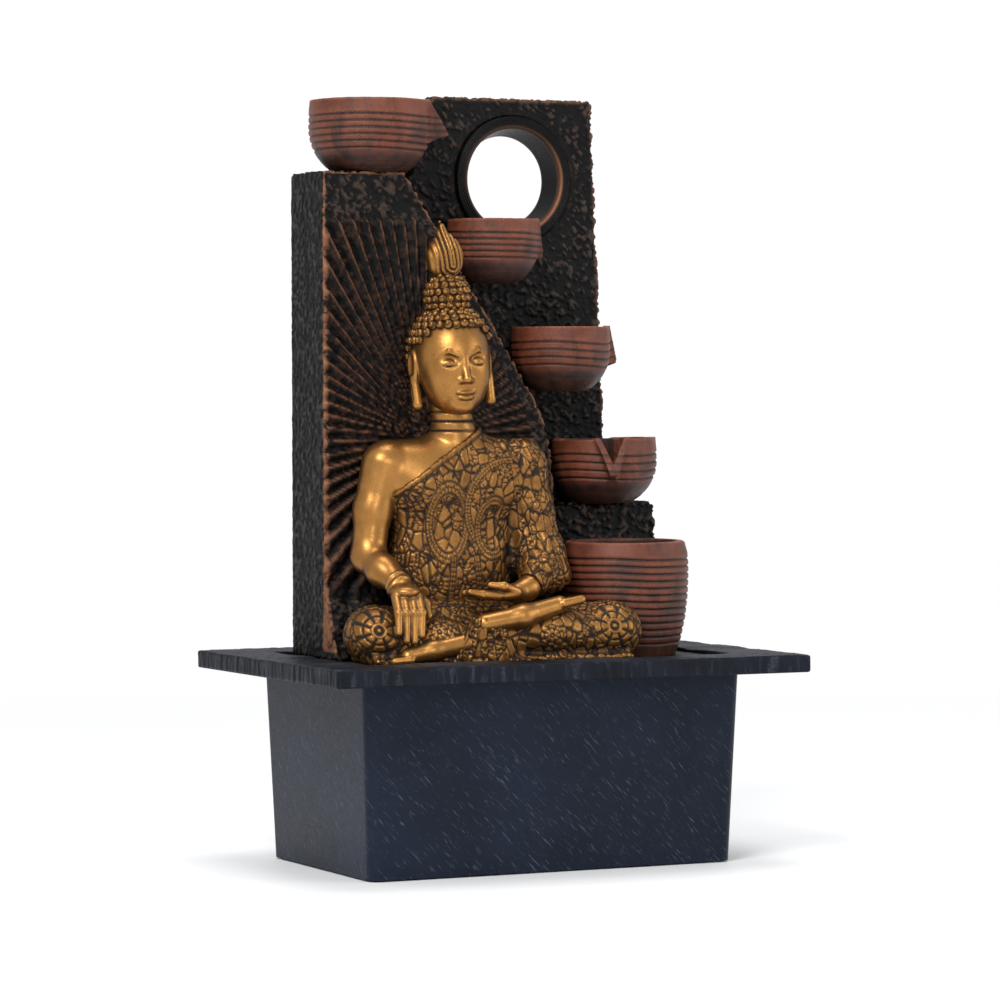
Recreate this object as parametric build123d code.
from build123d import *
import math
import os

# Tabletop water fountain: a rectangular water tub with a wide rim, and a cast stone-effect
# scene that lifts out of it: two standing walls, a ledge, five bowls and a seated figure.
# Millimetres. X runs left to right, -Y is the front, +Z is up.
# The origin is the middle of the footprint, at the level of the foot pads' undersides.

# ---- tub and rim
RIM_W = 267.0            # rim slab, left to right
RIM_D = 186.6            # rim slab, front to back
RIM_T = 9.2              # rim slab thickness
RIM_BAND_X = 30.5        # rim slab's top, from outer edge to opening, at the sides
RIM_BAND_Y = 29.3        # the same at the front and the back
RIM_OVERHANG_X = 26.7    # rim past the tub at the sides
RIM_OVERHANG_Y = 25.5    # rim past the tub at the front and the back
RIM_CORNER = 2.5         # outer corner radius of the rim slab
OPENING_CORNER = 6.0     # corner radius of the rim's opening
TUB_H = 99.0             # tub wall below the rim
TUB_WALL = 2.5
TUB_FLOOR = 3.0
TUB_TAPER = 3.8          # each side leans in by this over the tub's height
TUB_CORNER = 6.0         # vertical corner radius at the top of the tub
TUB_TONGUE = 3.5         # tub wall let into the groove under the rim
POST = 13.0              # corner posts that carry the plinth
PAD_D = 14.0
PAD_T = 2.0
PAD_PROUD = 0.8          # foot pads stand out of the tub's underside
PAD_INSET = 16.0         # pad centre from the tub's bottom edges

# ---- cord outlet
GROMMET_X = 70.0
GROMMET_Z = 86.0
GROMMET_HOLE_D = 9.0
GROMMET_FLANGE_D = 13.0
GROMMET_FLANGE_T = 1.4
GROMMET_BORE_D = 5.2

# ---- plinth
PLINTH_T = 10.0
DECK_DROP = 2.0          # plinth top below the rim top
PLINTH_GAP = 1.6         # plinth to the rim's opening, all round
TRAY_DEPTH = 5.0         # sunk tray that holds the pebbles
TRAY_D = 13.4            # tray, front to back
TRAY_W = 37.0            # tray, left to right
TRAY_FRONT = 3.0         # tray from the plinth's front edge
TRAY_RIGHT = 4.0         # tray from the plinth's right edge
DRAIN_D = 4.0

# ---- walls
BACK_INSET = 7.4         # wall backs from the plinth's back edge
FLANK_INSET = 6.4        # left wall's side from the plinth's left edge
RAY_D = 43.0             # left wall, front to back
RAY_TOP = 252.5          # left wall's top above the plinth
RAY_TOP_W = 46.0         # left wall's level top, left to right
RAY_SHOULDER_X = 101.0   # where the falling edge has come to, from the flank
RAY_SHOULDER_Z = 167.2
RAY_FOOT_X = 134.0       # width at the foot
RAY_FOOT_Z = 65.0        # the edge is upright below this
RAY_BEND_Z = 121.0       # the edge turns upright from here down
FOOT_OUT = 14.0          # rocky foot of the left wall, forward of its face
FOOT_W = 34.0
FOOT_H = 40.0
MOON_X = 77.0            # right wall's left edge, from the flank
MOON_TAIL_X = 55.5       # left edge of its tail, behind the left wall's top
MOON_TAIL_DROP = 45.0    # the tail's foot, below the left wall's top
MOON_CHAMFER = 8.0       # slanted top left corner
MOON_BOWL_GAP = 1.2      # the scoop round the upper bowl clears it by this
MOON_T = 14.0
MOON_RISE = 42.5         # right wall's top above the left wall's
MOON_FOOT_INSET = 17.4   # its right foot from the plinth's right edge
MOON_LEAN = 9.0          # its right edge leans in by this from the ledge to the top
LEDGE_TOP = 79.0
LEDGE_SHARE = 0.1843     # ledge, from the right wall's face forward, as a share of the plinth
LEDGE_W = 61.0
LEDGE_END = 0.2          # ledge's right end from the plinth's edge

# ---- round window
WINDOW_SHARE = 0.451     # window centre across the right wall's foot, as a share of its width
WINDOW_DROP = 43.0       # window centre below the right wall's top
WINDOW_R = 34.0          # hole in the wall
WINDOW_FRONT_R = 28.0    # ring's inside at the front
WINDOW_BACK_R = 24.0     # ring's inside at the back
WINDOW_PROUD = 2.0

# ---- bowls: outer radius, height, base radius
BOWL_WALL = 3.4
UPPER_BOWL = (32.0, 38.0, 17.0)
SECOND_BOWL = (24.6, 33.5, 11.5)
THIRD_BOWL = (26.5, 34.0, 12.5)
FOURTH_BOWL = (28.4, 34.5, 13.5)
UPPER_BOWL_X = 33.7      # centre from the left wall's flank
UPPER_BOWL_Y = 17.0      # centre back from the left wall's face
BOWL_SEAT = 0.72         # share of the radius that stands out from the right wall's face
SECOND_BOWL_SHARE = 0.252    # centres across the right wall's foot, as shares of its width
SECOND_BOWL_DROP = 56.5  # base below the left wall's top
THIRD_BOWL_SHARE = 0.637
THIRD_BOWL_RISE = 0.5505     # base above the plinth, as a share of the left wall's height
FOURTH_BOWL_X = 31.8     # centre from the ledge's left end
SPOUT_TURNS = (-12, 0, 0, -108)       # each spout's direction from +X, upper bowl first
SPOUT_REACHES = (10, 3.4, 5.4, 5)     # each spout past its bowl's side
BOWL_PIN_R = 2.0
SPOUT_W = 17.0
SPOUT_DEEP = 13.0        # bottom of the spout's notch below the rim
POT_H = 60.0
POT_BASE = 0.789         # base and rim radius, as shares of the greatest radius
POT_RIM = 0.9345
POT_WALL = 4.5
POT_DRAIN_R = 0.476      # circle that the drain holes stand on, as a share of the radius
POT_X = 36.1             # centre from the plinth's right edge
POT_GAP = 0.4            # pot to the ledge's face
POT_FROM_TRAY = 3.5      # pot's base to the pebble tray

# ---- seated figure
FIGURE_X = 79.2          # middle of the crossed legs, from the plinth's left edge
FIGURE_Y = 27.0          # the same, from the plinth's front edge
FIGURE_TURN = -6.0       # the figure looks this many degrees towards its own right
LEG_HALF_W = 81.0
LEG_HALF_D = 25.0
LEG_H = 28.0
TORSO_BACK = 27.0        # spine behind the middle of the legs
TORSO_SIDE = -12.5
SHOULDER_HALF_W = 38.0
SHOULDER_Z = 102.0
ELBOW_Z = 50.0
NECK_R = 11.0
HEAD_W = 46.0            # across the hair
FACE_W = 39.0            # bare head, across
CROWN_Z = 181.5          # top of the bare head above the plinth
CHIN_Z = CROWN_Z - FACE_W * 7 / 5     # a head is seven fifths as high as it is wide
FINIAL_Z = 224.5         # finial's tip above the plinth
FIGURE_PIN_R = 2.0

# ---- hose
HOSE_ID = 9.0
HOSE_OD = 12.0
HOSE_FIT = 0.05          # radial clearance of what the hose fits over
HOSE_HOLE_D = 14.0
CHANNEL_W = 36.0         # hollow behind the left wall's face
CHANNEL_FACE = 7.0       # wall left in front of the hollow
CHANNEL_BACK = 5.0       # wall left behind the hollow
CHANNEL_ROOF = 9.0       # wall left above the hollow
HATCH_W = 30.0
HATCH_H = 90.0
HATCH_Z = 18.0           # hatch opening's sill above the plinth
HATCH_LIP = 4.0
HATCH_T = 2.4
HATCH_GAP = 0.4

# ---- pump
PUMP_Y_HALF = 18.0
PUMP_CLEAR = 4.2         # pump's underside above the tub's floor
PUMP_H = 39.0
MOTOR_L = 25.0
CHAMBER_L = 16.5
NOZZLE_BACK = 10.5       # outlet behind the housing's front
AXIS_UP = 22.0           # rotor axis above the pump's underside
CHAMBER_R = 12.5
WELL_R = 7.5
WELL_WALL = 1.5
SHAFT_R = 1.0
RUN_FIT = 0.05
COVER_L = 15.0
COVER_LAP = 4.0
COVER_WALL = 1.6
COVER_GAP = 0.2
KNOB_R = 6.5

# ---- places worked out from the sizes
rim_z0 = PAD_PROUD + TUB_H
rim_top = rim_z0 + RIM_T
open_x = RIM_W / 2 - RIM_BAND_X
open_y = RIM_D / 2 - RIM_BAND_Y
tub_x = RIM_W / 2 - RIM_OVERHANG_X
tub_y = RIM_D / 2 - RIM_OVERHANG_Y
tub_floor_z = PAD_PROUD + TUB_FLOOR
deck_z = rim_top - DECK_DROP
plinth_z0 = deck_z - PLINTH_T
plinth_x = open_x - PLINTH_GAP
plinth_y = open_y - PLINTH_GAP
wall_back = plinth_y - BACK_INSET
flank_x = -plinth_x + FLANK_INSET
ray_face = wall_back - RAY_D
ray_top = deck_z + RAY_TOP
moon_x = flank_x + MOON_X
tail_x = flank_x + MOON_TAIL_X
tail_z = ray_top - MOON_TAIL_DROP
moon_foot = plinth_x - MOON_FOOT_INSET
moon_w = moon_foot - moon_x
moon_face = wall_back - MOON_T
moon_top = ray_top + MOON_RISE
window = (moon_x + WINDOW_SHARE * moon_w, moon_top - WINDOW_DROP)
ledge_z = deck_z + LEDGE_TOP
ledge_face = moon_face - LEDGE_SHARE * 2 * plinth_y
pot_room = ledge_face + plinth_y - POT_GAP - TRAY_FRONT - TRAY_D - POT_FROM_TRAY
pot_r = pot_room / (1 + POT_BASE)
pot_x = plinth_x - POT_X
pot_y = ledge_face - pot_r - POT_GAP
upper_bowl = (flank_x + UPPER_BOWL_X, ray_face + UPPER_BOWL_Y, ray_top)
hose_x, hose_y = upper_bowl[0], upper_bowl[1]
pump_z0 = tub_floor_z + PUMP_CLEAR
pump_top = pump_z0 + PUMP_H
axis_z = pump_z0 + AXIS_UP
chamber_front = hose_x + NOZZLE_BACK
chamber_back = chamber_front - CHAMBER_L
motor_back = chamber_back - MOTOR_L
cover_front = chamber_front + COVER_L

nodes = {}


def block(x0, x1, y0, y1, z0, z1):
    """A box between two corners."""
    box = Box(x1 - x0, y1 - y0, z1 - z0)
    return Pos((x0 + x1) / 2, (y0 + y1) / 2, (z0 + z1) / 2) * box


def rod_z(x, y, z0, z1, r):
    return Pos(x, y, (z0 + z1) / 2) * Cylinder(r, z1 - z0)


def rod_x(x0, x1, y, z, r):
    return Pos((x0 + x1) / 2, y, z) * Rot(0, 90, 0) * Cylinder(r, x1 - x0)


def rod_y(x, y0, y1, z, r):
    return Pos(x, (y0 + y1) / 2, z) * Rot(90, 0, 0) * Cylinder(r, y1 - y0)


def slab(outline, y0, y1):
    """A closed wire in the XZ plane, made solid from y0 back to y1."""
    face = make_face(outline)
    return extrude(Pos(0, y0, 0) * face, amount=y1 - y0, dir=(0, 1, 0))


def revolved(points_wire, x, y, z):
    """A profile in the XZ plane turned about the upright axis through x, y."""
    return Pos(x, y, z) * revolve(make_face(points_wire), axis=Axis.Z)


def all_corners(dx, dy):
    return [(sx * dx, sy * dy) for sx in (-1, 1) for sy in (-1, 1)]


def tapered_tub(grow, z0, z1):
    """The tub's outside, grown by grow each way, between two heights."""
    levels = []
    for z in (z0, z1):
        lean = TUB_TAPER * (rim_z0 - z) / TUB_H
        size_x = 2 * (tub_x - lean + grow)
        size_y = 2 * (tub_y - lean + grow)
        levels.append(Pos(0, 0, z) * RectangleRounded(size_x, size_y, TUB_CORNER + min(grow, 0)))
    return loft(levels)


def make_tub():
    top = rim_z0 + TUB_TONGUE
    outside = tapered_tub(0, PAD_PROUD, top)
    tub = outside - tapered_tub(-TUB_WALL, tub_floor_z, top + 1)
    for x, y in all_corners(tub_x, tub_y):
        post = block(x - POST, x + POST, y - POST, y + POST, PAD_PROUD, plinth_z0)
        tub += post & outside
    lean = math.degrees(math.atan(TUB_TAPER / TUB_H))
    wall_y = tub_y - TUB_TAPER * (rim_z0 - GROMMET_Z) / TUB_H - TUB_WALL / 2
    seat = Pos(GROMMET_X, wall_y, GROMMET_Z) * Rot(-90 - lean, 0, 0)
    tub -= seat * Cylinder(GROMMET_HOLE_D / 2, 4 * TUB_WALL)
    pads = []
    for x, y in all_corners(tub_x - TUB_TAPER - PAD_INSET, tub_y - TUB_TAPER - PAD_INSET):
        tub -= rod_z(x, y, PAD_PROUD - 1, PAD_T, PAD_D / 2 + 0.1)
        pads.append(rod_z(x, y, 0, PAD_T, PAD_D / 2))
    nodes["reservoir_tub"] = tub
    nodes["foot_pads"] = Compound(children=pads)

    waist = Cylinder(GROMMET_HOLE_D / 2, TUB_WALL)
    flange = Cylinder(GROMMET_FLANGE_D / 2, GROMMET_FLANGE_T)
    step = (TUB_WALL + GROMMET_FLANGE_T) / 2
    grommet = waist + Pos(0, 0, step) * flange + Pos(0, 0, -step) * flange
    grommet -= Cylinder(GROMMET_BORE_D / 2, 6 * TUB_WALL)
    nodes["cord_grommet"] = seat * grommet


def make_rim():
    fit = 0.15
    slab_sketch = RectangleRounded(RIM_W, RIM_D, RIM_CORNER)
    rim = extrude(Pos(0, 0, rim_z0) * slab_sketch, amount=RIM_T)
    rim = fillet(rim.faces().sort_by(Axis.Z)[-1].edges(), 0.8)
    opening = RectangleRounded(2 * open_x, 2 * open_y, OPENING_CORNER)
    rim -= extrude(Pos(0, 0, rim_z0 - 1) * opening, amount=RIM_T + 2)
    groove = tapered_tub(fit, rim_z0 - 1, rim_z0 + TUB_TONGUE)
    groove -= tapered_tub(-TUB_WALL - fit, rim_z0 - 2, rim_z0 + TUB_TONGUE + 1)
    nodes["rim_deck"] = rim - groove


def ray_outline():
    """The left wall's front: upright flank, short level top, then a long falling curve."""
    left, top = flank_x, ray_top
    shoulder = (left + RAY_SHOULDER_X, deck_z + RAY_SHOULDER_Z)
    edge = Spline(
        (left + RAY_TOP_W, top),
        (left + RAY_TOP_W + 0.28 * (RAY_SHOULDER_X - RAY_TOP_W), top - 0.27 * (top - shoulder[1])),
        shoulder,
        (left + RAY_FOOT_X - 4, deck_z + RAY_BEND_Z),
        (left + RAY_FOOT_X, deck_z + RAY_FOOT_Z),
        tangents=[(0.55, -0.83), (0, -1)])
    return Wire([
        Line((left, deck_z), (left, top)),
        Line((left, top), (left + RAY_TOP_W, top)),
        edge,
        Line((left + RAY_FOOT_X, deck_z + RAY_FOOT_Z), (left + RAY_FOOT_X, deck_z)),
        Line((left + RAY_FOOT_X, deck_z), (left, deck_z))])


def upright(wire):
    """Turns a wire drawn in XY up into the XZ plane."""
    return wire.rotate(Axis.X, 90)


def make_walls():
    ray = slab(upright(ray_outline()), ray_face, wall_back)
    ray -= block(moon_x, moon_x + 2 * moon_w, moon_face, wall_back + 1, 0, 2 * moon_top)
    ray -= block(tail_x, moon_x + 1, moon_face, wall_back + 1, tail_z, 2 * moon_top)
    foot_side = Polyline((ray_face + 1, deck_z), (ray_face + 1, deck_z + FOOT_H + 3),
                         (ray_face - FOOT_OUT, deck_z + 6), (ray_face - FOOT_OUT, deck_z), close=True)
    foot = extrude(make_face(Plane.YZ * foot_side), amount=FOOT_W, dir=(1, 0, 0))
    foot = Pos(flank_x, 0, 0) * foot
    ray += foot
    figure_clear = Pos(0, -0.3, 0) * foot + foot
    channel_x0, channel_x1 = hose_x - CHANNEL_W / 2, hose_x + CHANNEL_W / 2
    channel_y0, channel_y1 = ray_face + CHANNEL_FACE, wall_back - CHANNEL_BACK
    channel_top = ray_top - CHANNEL_ROOF
    ray -= block(channel_x0, channel_x1, channel_y0, channel_y1, deck_z - 1, channel_top)
    ray -= rod_z(hose_x, hose_y, channel_top - 1, ray_top + 1, HOSE_HOLE_D / 2)
    hatch_z0 = deck_z + HATCH_Z
    hatch_z1 = hatch_z0 + HATCH_H
    hatch_x0, hatch_x1 = hose_x - HATCH_W / 2, hose_x + HATCH_W / 2
    ray -= block(hatch_x0, hatch_x1, channel_y1 - 1, wall_back + 1, hatch_z0, hatch_z1)
    ray -= block(hatch_x0 - HATCH_LIP, hatch_x1 + HATCH_LIP, wall_back - HATCH_T - HATCH_GAP,
                 wall_back + 1, hatch_z0 - HATCH_LIP, hatch_z1 + HATCH_LIP)
    nodes["ray_wall"] = ray

    lid_grow = HATCH_LIP - HATCH_GAP
    lid = block(hatch_x0 - lid_grow, hatch_x1 + lid_grow, wall_back - HATCH_T, wall_back,
                hatch_z0 - lid_grow, hatch_z1 + lid_grow)
    rim_in = HATCH_GAP + 0.2
    collar = block(hatch_x0 + rim_in, hatch_x1 - rim_in, channel_y1 + 1, wall_back - HATCH_T,
                   hatch_z0 + rim_in, hatch_z1 - rim_in)
    collar -= block(hatch_x0 + 3, hatch_x1 - 3, channel_y1, wall_back, hatch_z0 + 3, hatch_z1 - 3)
    grip_z = hatch_z1 - 10
    grip = rod_y(hose_x, wall_back - 1.2, wall_back + 1, grip_z, 6)
    nodes["rear_hatch"] = lid + collar - grip

    clips = []
    for z in (deck_z + 60, deck_z + 150, deck_z + 225):
        outer, inner = HOSE_OD / 2 + 2.2, HOSE_OD / 2 + 0.1
        ring = rod_z(hose_x, hose_y, z - 4, z + 4, outer)
        foot = block(hose_x - 5, hose_x + 5, channel_y0, hose_y - inner, z - 4, z + 4)
        mouth = block(hose_x - inner * 0.75, hose_x + inner * 0.75, hose_y, hose_y + 2 * outer,
                      z - 5, z + 5)
        clips.append(ring + foot - rod_z(hose_x, hose_y, z - 5, z + 5, inner) - mouth)
    nodes["hose_clips"] = Compound(children=clips)

    right_top, right_foot = moon_foot - MOON_LEAN, moon_foot
    moon_wire = Polyline((moon_x, deck_z), (moon_x, tail_z), (tail_x, tail_z),
                         (tail_x, moon_top - MOON_CHAMFER), (moon_x - MOON_CHAMFER, moon_top - MOON_CHAMFER),
                         (moon_x, moon_top), (right_top - 2, moon_top),
                         (right_top, moon_top - 2), (right_foot, ledge_z), (right_foot, deck_z),
                         close=True)
    moon = slab(upright(moon_wire), moon_face, wall_back)
    moon -= rod_z(hose_x, hose_y, ray_top, moon_top, UPPER_BOWL[0] + MOON_BOWL_GAP)
    wx, wz = window
    moon -= rod_y(wx, moon_face - 1, wall_back + 1, wz, WINDOW_R)
    nodes["moon_wall"] = moon

    depth = MOON_T + WINDOW_PROUD
    ring_wire = Polyline((WINDOW_BACK_R, 0), (WINDOW_R, 0), (WINDOW_R, depth - 1.5),
                         (WINDOW_R - 1.5, depth), (WINDOW_FRONT_R + 1, depth),
                         (WINDOW_FRONT_R, depth - 1), close=True)
    ring = revolve(make_face(upright(ring_wire)), axis=Axis.Z)
    nodes["window_ring"] = Pos(wx, wall_back, wz) * Rot(90, 0, 0) * ring

    ledge_x1 = plinth_x - LEDGE_END
    ledge = block(ledge_x1 - LEDGE_W, ledge_x1, ledge_face, moon_face, deck_z, ledge_z)
    ledge += block(right_foot, ledge_x1, moon_face - 1, wall_back, deck_z, ledge_z)
    nodes["ledge_block"] = ledge
    return figure_clear


def bowl_solid(size, wall):
    """A round bowl on its base: a curved side, and an upright band under the rim."""
    radius, height, base = size
    belly = 0.62 * height
    rim_r = 0.975 * radius
    bend = (base + 0.72 * (radius - base), 0.22 * height)
    outside = Wire([
        Line((0, 0), (base, 0)),
        ThreePointArc((base, 0), bend, (radius, belly)),
        Line((radius, belly), (rim_r, height)),
        Line((rim_r, height), (0, height)),
        Line((0, height), (0, 0))])
    hollow = Wire([
        Line((0, wall), (base - wall / 2, wall)),
        ThreePointArc((base - wall / 2, wall), (bend[0] - wall, bend[1] + wall / 2),
                      (radius - wall, belly)),
        Line((radius - wall, belly), (rim_r - wall, height + 1)),
        Line((rim_r - wall, height + 1), (0, height + 1)),
        Line((0, height + 1), (0, wall))])
    solid = revolve(make_face(upright(outside)), axis=Axis.Z)
    inside = revolve(make_face(upright(hollow)), axis=Axis.Z)
    return solid, inside


def spout(size, turn, out):
    """A pouring lip that falls away from the rim, and the V-shaped notch cut through both."""
    radius, height, _ = size
    lip_side = Polyline((radius * 0.8, height), (radius * 0.97, height),
                        (radius + out, height - SPOUT_DEEP * 0.75),
                        (radius + out - 1, height - SPOUT_DEEP - 1),
                        (radius * 0.8, height - SPOUT_DEEP - 5), close=True)
    lip = slab(upright(lip_side), -SPOUT_W / 2, SPOUT_W / 2)
    lip &= Rot(0, 0, 90) * slab(upright(Polyline(
        (-SPOUT_W / 2, height + 1), (SPOUT_W / 2, height + 1), (SPOUT_W * 0.2, height - SPOUT_DEEP - 5),
        (-SPOUT_W * 0.2, height - SPOUT_DEEP - 5), close=True)), -radius - 2 * out, 0)
    notch = upright(Polyline((-SPOUT_W / 2 + 2.4, height + 1), (SPOUT_W / 2 - 2.4, height + 1),
                             (0, height - SPOUT_DEEP), close=True))
    cut = Rot(0, 0, 90) * slab(notch, -radius - 2 * out, -radius * 0.6)
    return Rot(0, 0, turn) * lip, Rot(0, 0, turn) * cut


def make_bowl(name, size, x, y, z, turn, out, back_plane=None):
    """A bowl with its spout. With a back plane it gets a flat back wall that seats there."""
    solid, inside = bowl_solid(size, BOWL_WALL)
    lip, cut = spout(size, turn, out)
    bowl = Pos(x, y, z) * (solid + lip - inside - cut)
    if back_plane is not None:
        backing = block(x - 99, x + 99, back_plane - BOWL_WALL, back_plane, z - 99, z + 99)
        bowl += backing & (Pos(x, y, z) * solid)
        bowl -= block(x - 99, x + 99, back_plane, back_plane + 99, z - 99, z + 99)
    nodes[name] = bowl


def make_bowls():
    x, y, z = upper_bowl
    make_bowl("upper_bowl", UPPER_BOWL, x, y, z, SPOUT_TURNS[0], SPOUT_REACHES[0])
    nodes["upper_bowl"] -= rod_z(x, y, z - 1, z + BOWL_WALL + 1, HOSE_ID / 2 + 0.2)

    tail = rod_z(x, y, z - 22, z + BOWL_WALL, HOSE_ID / 2 - HOSE_FIT)
    flange = rod_z(x, y, z + BOWL_WALL, z + BOWL_WALL + 2.4, 9)
    head = rod_z(x, y, z + BOWL_WALL + 2.4, z + BOWL_WALL + 8, 5.5)
    bore = rod_z(x, y, z - 23, z + BOWL_WALL + 9, 3.2)
    nodes["bowl_spigot"] = tail + flange + head - bore

    second_x = moon_x + SECOND_BOWL_SHARE * moon_w
    third_x = moon_x + THIRD_BOWL_SHARE * moon_w
    fourth_x = plinth_x - LEDGE_END - LEDGE_W + FOURTH_BOWL_X
    hung = [("second_bowl", SECOND_BOWL, second_x, ray_top - SECOND_BOWL_DROP),
            ("third_bowl", THIRD_BOWL, third_x, deck_z + THIRD_BOWL_RISE * RAY_TOP),
            ("fourth_bowl", FOURTH_BOWL, fourth_x, ledge_z)]
    pins = []
    for n, (name, size, bx, bz) in enumerate(hung):
        by = moon_face - BOWL_SEAT * size[0]
        make_bowl(name, size, bx, by, bz, SPOUT_TURNS[n + 1], SPOUT_REACHES[n + 1], moon_face)
        hole_z = bz + size[1] / 2
        start = moon_face - 4.5
        pin = rod_y(bx, start, moon_face + 8, hole_z, BOWL_PIN_R)
        hole = rod_y(bx, start - 0.5, moon_face + 8.5, hole_z, BOWL_PIN_R + 0.1)
        cup = block(bx - 5, bx + 5, start - 1.5, moon_face, hole_z - 5, hole_z + 5)
        nodes[name] = nodes[name] + cup - hole
        nodes["moon_wall"] -= hole
        pins.append(pin)
    nodes["bowl_pins"] = Compound(children=pins)
    wx, wz = window
    ring_clear = rod_y(wx, moon_face - WINDOW_PROUD - 0.2, moon_face, wz, WINDOW_R + 0.2)
    nodes["second_bowl"] -= ring_clear

    base_r, rim_r = POT_BASE * pot_r, POT_RIM * pot_r
    pot_out = Wire([
        Line((0, 0), (base_r, 0)),
        ThreePointArc((base_r, 0), (pot_r - 0.8, 0.5 * POT_H), (pot_r, 0.72 * POT_H)),
        ThreePointArc((pot_r, 0.72 * POT_H), (pot_r - 0.5, 0.87 * POT_H), (rim_r, POT_H)),
        Line((rim_r, POT_H), (0, POT_H)),
        Line((0, POT_H), (0, 0))])
    top_r = rim_r - POT_WALL
    low_r = base_r - POT_WALL
    pot_in = Wire([
        Line((0, POT_WALL), (low_r, POT_WALL)),
        ThreePointArc((low_r, POT_WALL), (pot_r - POT_WALL - 0.8, 0.5 * POT_H), (top_r + 1, 0.8 * POT_H)),
        Line((top_r + 1, 0.8 * POT_H), (top_r, POT_H + 1)),
        Line((top_r, POT_H + 1), (0, POT_H + 1)),
        Line((0, POT_H + 1), (0, POT_WALL))])
    pot = revolved(upright(pot_out), pot_x, pot_y, deck_z) - revolved(upright(pot_in), pot_x, pot_y, deck_z)
    for hx, hy in pot_drains():
        pot -= rod_z(hx, hy, deck_z - 1, deck_z + POT_WALL + 1, DRAIN_D / 2)
    nodes["lower_pot"] = pot


def pot_drains():
    """Five holes on the side of the pot's floor away from the pebbles."""
    places = []
    for k in range(5):
        a = math.radians(200 + 35 * k)
        reach = POT_DRAIN_R * pot_r
        places.append((pot_x + reach * math.cos(a), pot_y + reach * math.sin(a)))
    return places


def capsule(p, q, r0, r1):
    """A round limb from p to q, thicker at one end than at the other."""
    line = Vector(*q) - Vector(*p)
    reach, slant = line.length, math.sqrt(0.5)
    profile = Wire([
        ThreePointArc((0, -r0), (slant * r0, -slant * r0), (r0, 0)),
        Line((r0, 0), (r1, reach)),
        ThreePointArc((r1, reach), (slant * r1, reach + slant * r1), (0, reach + r1)),
        Line((0, reach + r1), (0, -r0))])
    return Plane(origin=Vector(*p), z_dir=line) * revolve(make_face(upright(profile)), axis=Axis.Z)


def make_figure(wall_foot):
    """A seated figure with crossed legs: plain masses of the true outer size."""
    girths = [(0, 0.93), (0.35, 1), (0.75, 0.95), (1, 0.78)]
    legs = loft([Pos(0, 0, h * LEG_H) * Ellipse(g * LEG_HALF_W, g * LEG_HALF_D) for h, g in girths])
    levels = [(18, 47, 20), (50, 33, 18), (80, 37, 19), (104, 40, 18), (116, 24, 15)]
    sections = [Pos(TORSO_SIDE, TORSO_BACK, z) * Ellipse(a, b) for z, a, b in levels]
    torso = loft(sections)
    side, back = TORSO_SIDE, TORSO_BACK
    neck = rod_z(side, back - 2, SHOULDER_Z + 10, CHIN_Z + 6, NECK_R)
    head_wire = Wire([
        Line((0, CHIN_Z), (7, CHIN_Z)),
        ThreePointArc((7, CHIN_Z), (HEAD_W / 2, (CHIN_Z + CROWN_Z) / 2 + 4), (12, CROWN_Z)),
        Line((12, CROWN_Z), (9.5, CROWN_Z + 9)),
        Line((9.5, CROWN_Z + 9), (8, CROWN_Z + 20)),
        Line((8, CROWN_Z + 20), (0, FINIAL_Z)),
        Line((0, FINIAL_Z), (0, CHIN_Z))])
    head_x, head_y = side - 2, back - 4
    head = revolved(upright(head_wire), head_x, head_y, 0)
    brow_z, nose_z = CHIN_Z + (CROWN_Z - CHIN_Z) * 0.56, CHIN_Z + (CROWN_Z - CHIN_Z) * 0.3
    head += capsule((head_x, head_y - HEAD_W / 2 + 2.5, brow_z), (head_x, head_y - HEAD_W / 2 + 0.5, nose_z),
                    1.6, 2.6)
    for hand in (-1, 1):
        ear_x = head_x + hand * (HEAD_W / 2 - 1.5)
        head += capsule((ear_x, head_y + 1, brow_z - 2), (ear_x - hand * 1.5, head_y, CHIN_Z + 6), 3.0, 2.4)
    elbow_y = back - 6
    shoulder_r, shoulder_l = side - SHOULDER_HALF_W, side + SHOULDER_HALF_W
    right_arm = capsule((shoulder_r, back, SHOULDER_Z), (shoulder_r - 9, elbow_y, ELBOW_Z), 10.5, 9)
    right_arm += capsule((shoulder_r - 9, elbow_y, ELBOW_Z), (side - 24, back - 38, 32), 9, 7.5)
    left_arm = capsule((shoulder_l, back, SHOULDER_Z), (shoulder_l + 7, elbow_y, ELBOW_Z + 2), 11.5, 12)
    left_arm += capsule((shoulder_l + 7, elbow_y, ELBOW_Z + 2), (side + 16, back - 36, 34), 10, 7.5)
    body = legs + torso + neck + head + right_arm + left_arm
    where = Pos(-plinth_x + FIGURE_X, -plinth_y + FIGURE_Y, deck_z) * Rot(0, 0, FIGURE_TURN)
    pins, holes = [], []
    for dx in (-36, 24):
        pins.append(where * rod_z(dx, 8, -6, 10, FIGURE_PIN_R))
        holes.append(where * rod_z(dx, 8, -6.5, 10.5, FIGURE_PIN_R + 0.1))
    figure = where * body
    for hole in holes:
        figure -= hole
        nodes["plinth"] -= hole
    figure -= block(-plinth_x, plinth_x, ray_face - 0.3, wall_back, 0, 2 * moon_top)
    figure -= rod_z(pot_x, pot_y, 0, deck_z + POT_H, pot_r + POT_GAP)
    figure -= wall_foot
    nodes["seated_figure"] = figure
    nodes["figure_pins"] = Compound(children=pins)


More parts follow.
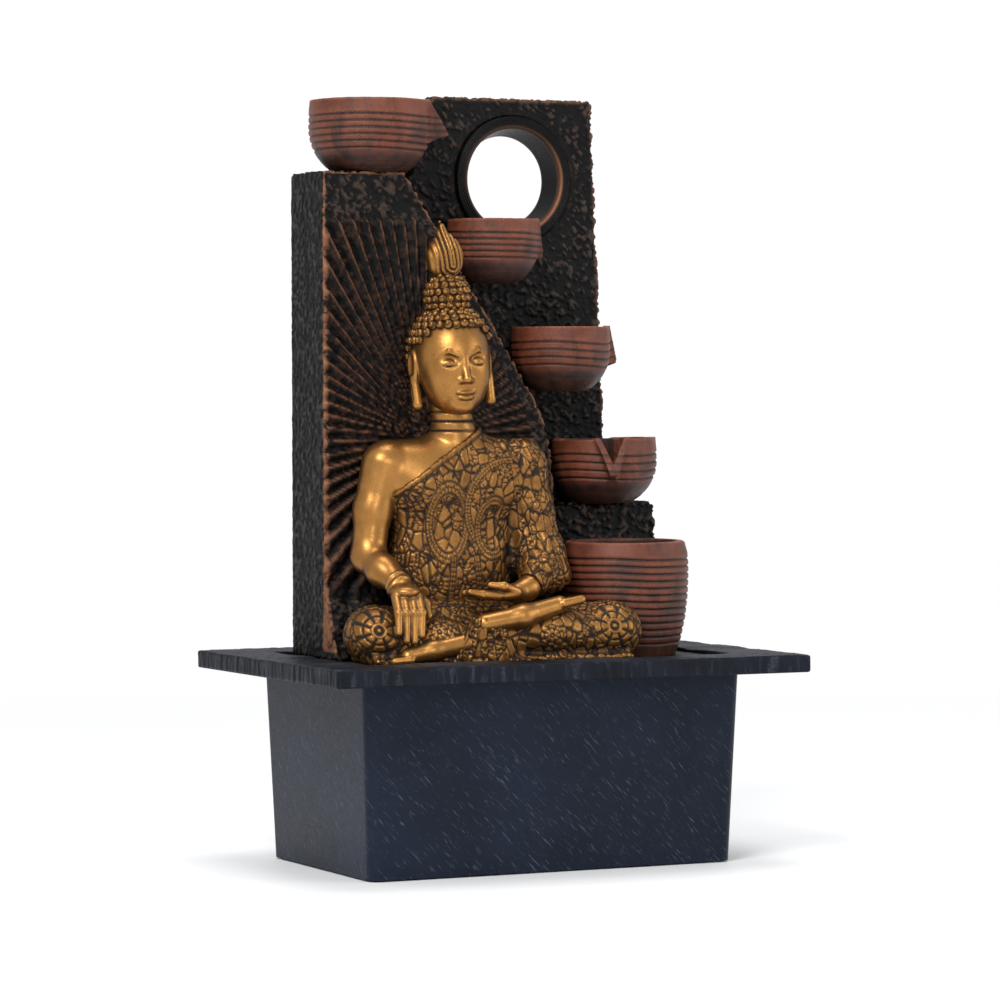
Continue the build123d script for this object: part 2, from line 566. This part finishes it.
def make_plinth():
    sketch = RectangleRounded(2 * plinth_x, 2 * plinth_y, OPENING_CORNER - PLINTH_GAP)
    plinth = extrude(Pos(0, 0, plinth_z0) * sketch, amount=PLINTH_T)
    plinth -= rod_z(hose_x, hose_y, plinth_z0 - 1, deck_z + 1, HOSE_HOLE_D / 2)
    tray_x1, tray_y0 = plinth_x - TRAY_RIGHT, -plinth_y + TRAY_FRONT
    tray_z = deck_z - TRAY_DEPTH
    plinth -= block(tray_x1 - TRAY_W, tray_x1, tray_y0, tray_y0 + TRAY_D, tray_z, deck_z + 1)
    for k in range(4):
        hx = tray_x1 - TRAY_W + 6 + k * (TRAY_W - 12) / 3
        plinth -= rod_z(hx, tray_y0 + TRAY_D / 2, plinth_z0 - 1, deck_z, DRAIN_D / 2)
    for hx, hy in pot_drains():
        plinth -= rod_z(hx, hy, plinth_z0 - 1, deck_z + 1, DRAIN_D / 2)
    nodes["plinth"] = plinth

    dowels = []
    for x, y in ((flank_x + 4.5, ray_face + 12), (flank_x + 4.5, wall_back - 8),
                 (moon_x + 60, wall_back - MOON_T / 2), (plinth_x - 12, moon_face - 8)):
        dowels.append(rod_z(x, y, deck_z - 6, deck_z + 10, 2))
        hole = rod_z(x, y, deck_z - 6.5, deck_z + 10.5, 2.1)
        for name in ("plinth", "ray_wall", "moon_wall", "ledge_block"):
            nodes[name] -= hole
    nodes["wall_dowels"] = Compound(children=dowels)

    pebbles = []
    sizes = [(3.3, 3.1), (2.9, 2.7), (3.1, 3.3), (3.2, 2.8)]
    pitch = 2 * max(r for r, h in sizes) + 0.1
    per_row = int((TRAY_W - 1) / pitch)
    for k in range(2 * per_row):
        r, h = sizes[(3 * k + k // per_row) % len(sizes)]
        x = tray_x1 - TRAY_W + 0.5 + pitch * (k % per_row + 0.5)
        y = tray_y0 + TRAY_D * (0.25 if k < per_row else 0.75)
        side = Spline((0, -h), (r, 0), (0, h), tangents=[(1, 0), (-1, 0)])
        half = Wire([side, Line((0, h), (0, -h))])
        pebbles.append(revolved(upright(half), x, y, tray_z + h + 0.02))
    nodes["pebbles"] = Compound(children=pebbles)


def make_hose():
    bottom = pump_top + 3.4
    top = ray_top - 2
    hose = rod_z(hose_x, hose_y, bottom, top, HOSE_OD / 2)
    nodes["riser_hose"] = hose - rod_z(hose_x, hose_y, bottom - 1, top + 1, HOSE_ID / 2)


def make_pump():
    y, z = hose_y, axis_z
    y0, y1 = y - PUMP_Y_HALF, y + PUMP_Y_HALF
    wall = 2.5
    body = block(motor_back, chamber_front, y0, y1, pump_z0, pump_top)
    body = fillet(body.edges().filter_by(Axis.X), 3)
    lip = COVER_WALL + COVER_GAP
    sleeve = block(chamber_front - COVER_LAP, chamber_front + 1, y0 - 1, y1 + 1, pump_z0 - 1,
                   pump_top + 1)
    sleeve -= block(chamber_front - 2 * COVER_LAP, chamber_front + 2, y0 + lip, y1 - lip,
                    pump_z0 + lip, pump_top - lip)
    body -= sleeve
    cavity_front = chamber_back - 2
    body -= block(motor_back - 1, cavity_front, y0 + wall, y1 - wall, pump_z0 + wall, pump_top - wall)
    well_end = motor_back + 3.5
    body += rod_x(well_end - WELL_WALL, cavity_front + 0.5, y, z, WELL_R + WELL_WALL)
    body -= rod_x(well_end, chamber_front, y, z, WELL_R)
    body -= rod_x(chamber_back, chamber_front + 1, y, z, CHAMBER_R)
    plate_r, plate_t = CHAMBER_R + 2.0, 2.2
    body -= rod_x(chamber_front - plate_t, chamber_front + 1, y, z, plate_r)
    seal_r = CHAMBER_R + 1.0
    groove = rod_x(chamber_front - plate_t - 1.5, chamber_front, y, z, seal_r + 0.8)
    groove -= rod_x(chamber_front - plate_t - 2, chamber_front + 1, y, z, seal_r - 0.8)
    body -= groove
    body -= rod_z(hose_x, y, z, pump_top + 1, 5.05)
    gland_x, gland_y = motor_back + 8, y + 9
    body -= rod_z(gland_x, gland_y, pump_top - 2 * wall, pump_top + 1, 2.1)
    cup_x = (motor_back + 7, chamber_front - 8)
    cups = []
    for x in cup_x:
        for cy in (y0 + 8, y1 - 8):
            body -= rod_z(x, cy, pump_z0 - 1, pump_z0 + 2, 2.05)
            cone = Pos(x, cy, (tub_floor_z + pump_z0) / 2) * Cone(6.8, 3.2, PUMP_CLEAR)
            cups.append(cone + rod_z(x, cy, pump_z0 - 0.5, pump_z0 + 2, 2))
    nodes["pump_housing"] = body
    nodes["suction_cups"] = Compound(children=cups)

    gland = rod_z(gland_x, gland_y, pump_top, pump_top + 3, 4.5)
    gland += rod_z(gland_x, gland_y, pump_top + 3, pump_top + 6, 3.6)
    gland += rod_z(gland_x, gland_y, pump_top - wall, pump_top, 2)
    nodes["pump_gland"] = gland - rod_z(gland_x, gland_y, pump_top + 1, pump_top + 7, 2.2)

    plug = rod_z(hose_x, y, pump_top - 2.2, pump_top, 5)
    flange = rod_z(hose_x, y, pump_top, pump_top + 2, 6.5)
    tube = rod_z(hose_x, y, pump_top + 2, pump_top + 20, HOSE_ID / 2 - HOSE_FIT)
    bore = rod_z(hose_x, y, pump_top - 3, pump_top + 21, 3.2)
    nodes["outlet_nozzle"] = plug + flange + tube - bore

    cap = block(motor_back - 2, motor_back, y0, y1, pump_z0, pump_top)
    nodes["motor_cap"] = fillet(cap.edges().filter_by(Axis.X), 3)

    core_x0, core_x1 = motor_back + 8, cavity_front - 1
    leg = WELL_R + WELL_WALL + 0.6
    bar_z0, bar_z1 = pump_z0 + wall + 3, z - WELL_R - WELL_WALL - 3
    core = block(core_x0, core_x1, y - leg - 4.5, y - leg, bar_z0, z + 5)
    core += block(core_x0, core_x1, y + leg, y + leg + 4.5, bar_z0, z + 5)
    core += block(core_x0, core_x1, y - leg, y + leg, bar_z0, bar_z1)
    nodes["stator_core"] = core
    coil = block(core_x0 - 2.5, core_x1 + 0.9, y - 7, y + 7, bar_z0 - 2.6, bar_z1 + 2.6)
    nodes["stator_coil"] = coil - block(core_x0 - 0.1, core_x1 + 0.1, y - 8, y + 8, bar_z0 - 0.1,
                                        bar_z1 + 0.1)

    plate = rod_x(chamber_front - plate_t, chamber_front - 0.2, y, z, plate_r - 0.1)
    plate -= rod_x(chamber_front - plate_t - 1, chamber_front, y, z, 7)
    for turn in (0, 60, 120):
        bar = block(-7.5, 7.5, -0.8, 0.8, 0, plate_t - 0.2)
        plate += Pos(chamber_front - plate_t, y, z) * Rot(0, 90, 0) * Rot(0, 0, turn) * bar
    hub = rod_x(chamber_front - plate_t, chamber_front - 0.2, y, z, 3.4)
    nodes["volute_plate"] = plate + hub - rod_x(chamber_front - 4, chamber_front + 1, y, z, 2.6)
    nodes["volute_seal"] = Pos(chamber_front - plate_t - 0.75, y, z) * Rot(0, 90, 0) * Torus(seal_r, 0.74)

    bush_r = 2.55
    shaft_x0, shaft_x1 = well_end + 0.2, chamber_front - 0.4
    nodes["rotor_shaft"] = rod_x(shaft_x0, shaft_x1, y, z, SHAFT_R)
    front_bush = rod_x(chamber_front - plate_t, chamber_front - 0.2, y, z, bush_r)
    rear_bush = rod_x(well_end + 0.05, well_end + 3, y, z, WELL_R - 0.05)
    hole = rod_x(shaft_x0 - 5, shaft_x1 + 5, y, z, SHAFT_R + 0.02)
    nodes["front_bush"] = front_bush - hole
    nodes["rear_bush"] = rear_bush - hole

    bore = rod_x(shaft_x0 - 5, shaft_x1 + 5, y, z, SHAFT_R + RUN_FIT)
    magnet_x1 = chamber_back - 2
    magnet = rod_x(well_end + 3.6, magnet_x1, y, z, WELL_R - 0.6)
    nodes["rotor_magnet"] = magnet - bore
    wheel = rod_x(magnet_x1, chamber_front - plate_t - 0.6, y, z, 3.4)
    wheel += rod_x(chamber_back + 0.8, chamber_back + 2, y, z, CHAMBER_R - 1.5)
    for k in range(6):
        blade = block(2.8, CHAMBER_R - 1.6, -0.6, 0.6, 0, chamber_front - plate_t - 0.8 - chamber_back - 1.5)
        wheel += Pos(chamber_back + 1.5, y, z) * Rot(0, 90, 0) * Rot(0, 0, 60 * k + 30) * blade
    nodes["impeller"] = wheel - bore

    shell = block(chamber_front - COVER_LAP + 0.3, cover_front, y0, y1, pump_z0, pump_top)
    shell = fillet(shell.edges().filter_by(Axis.X), 3)
    face = cover_front - COVER_WALL
    shell -= block(chamber_front - COVER_LAP - 1, face, y0 + COVER_WALL, y1 - COVER_WALL,
                   pump_z0 + COVER_WALL, pump_top - COVER_WALL)
    knob_z = pump_z0 + 12
    for k in range(7):
        sy = y - 12 + 4 * k
        shell -= block(face - 1, cover_front + 1, sy - 0.9, sy + 0.9, pump_top - 18, pump_top - 5)
    shell -= rod_x(face - 1, cover_front + 1, y, knob_z, 2.05)
    for sy in (-10, 10):
        shell -= rod_x(face - 1, cover_front + 1, y + sy, knob_z, 2.5)
    nodes["intake_cover"] = shell

    knob = rod_x(cover_front + 0.3, cover_front + 3.4, y, knob_z, KNOB_R)
    knob += block(cover_front + 3, cover_front + 4.6, y - 1, y + 1, knob_z - KNOB_R + 0.5,
                  knob_z + KNOB_R - 0.5)
    knob += rod_x(face - 1.8, cover_front + 1, y, knob_z, 2)
    knob += block(face - 1.8, face - 0.4, y - 13, y + 3, knob_z - 3, knob_z + 3)
    nodes["flow_knob"] = knob


def main():
    make_tub()
    make_rim()
    wall_foot = make_walls()
    make_bowls()
    make_plinth()
    make_figure(wall_foot)
    make_hose()
    make_pump()
    os.makedirs("parts", exist_ok=True)
    for name, shape in nodes.items():
        export_step(shape, f"parts/{name}.step")


main()
